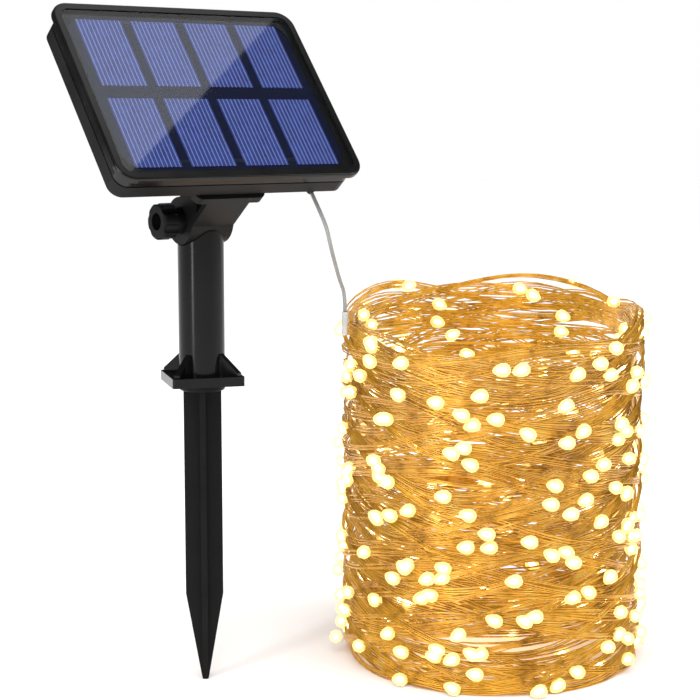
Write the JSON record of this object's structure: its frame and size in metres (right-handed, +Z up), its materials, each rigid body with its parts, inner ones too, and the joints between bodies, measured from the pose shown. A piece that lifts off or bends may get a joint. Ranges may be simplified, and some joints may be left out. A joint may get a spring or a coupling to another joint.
{
  "type": "solar string lights",
  "caption": "Tilting solar panel head on a ground spike with a coiled string of warm white lamps on fine copper wire.",
  "frame": {"origin": "centre of the underside of the stake flange, at ground level", "axes": "+Z up the post, +X along the tilt hinge away from its knob, the solar panel faces -Y and up"},
  "size_m": [0.2249, 0.1244, 0.2542],
  "materials": {
    "black_gloss_bezel": "gloss",
    "dark_grey_shell": "satin",
    "black_gloss_post": "gloss",
    "black_satin_stake": "satin",
    "panel_glass": "polished",
    "cell_blue": "gloss",
    "backing_black": "satin",
    "seal_rubber": "matte",
    "zinc_steel": "satin",
    "brass_insert": "satin",
    "tin_ribbon": "satin",
    "board_green": "gloss",
    "component_black": "matte",
    "battery_wrap": "satin",
    "button_rubber": "matte",
    "lead_clear": "gloss",
    "copper_wire": "gloss",
    "bead_clear": "gloss"
  },
  "bodies": {
    "post": {"post_tube": "black_gloss_post", "lead_cable": "lead_clear", "wire_joint": "lead_clear", "string_coil": "copper_wire", "led_beads": "bead_clear", "string_end": "lead_clear"},
    "spike": {"spike": "black_satin_stake"},
    "head": {"front_bezel": "black_gloss_bezel", "seal_ring": "seal_rubber", "rear_cover": "dark_grey_shell", "glass_cover": "panel_glass", "cell_board": "backing_black", "solar_cells": "cell_blue", "bus_ribbons": "tin_ribbon", "circuit_board": "board_green", "board_parts": "component_black", "tact_switches": "component_black", "battery_pack": "battery_wrap", "housing_screws": "zinc_steel", "tilt_bracket": "dark_grey_shell", "bracket_screws": "zinc_steel", "hinge_bolt": "zinc_steel", "friction_washers": "zinc_steel", "cable_gland": "black_satin_stake"},
    "knob": {"knob": "black_satin_stake", "knob_insert": "brass_insert"},
    "power_button": {"power_button": "button_rubber"},
    "mode_button": {"mode_button": "button_rubber"}
  },
  "joints": [
    {"name": "spike_turn", "type": "hinge", "parent": "post", "child": "spike", "pos_m": [0, 0, 0], "axis": [0, 0, 1], "continuous": true},
    {"name": "head_tilt", "type": "hinge", "parent": "post", "child": "head", "pos_m": [0, 0, 0.061], "axis": [1, 0, 0], "range_deg": [-51, 12], "deforming": ["lead_cable"]},
    {"name": "knob_turn", "type": "hinge", "parent": "head", "child": "knob", "pos_m": [0, 0, 0.061], "axis": [1, 0, 0], "continuous": true},
    {"name": "power_press", "type": "slide", "parent": "head", "child": "power_button", "axis": [0, -0.7771, 0.6293], "range_m": [0, 0.0008], "stiffness_N_per_m": 800},
    {"name": "mode_press", "type": "slide", "parent": "head", "child": "mode_button", "axis": [0, -0.7771, 0.6293], "range_m": [0, 0.0008], "stiffness_N_per_m": 800}
  ]
}
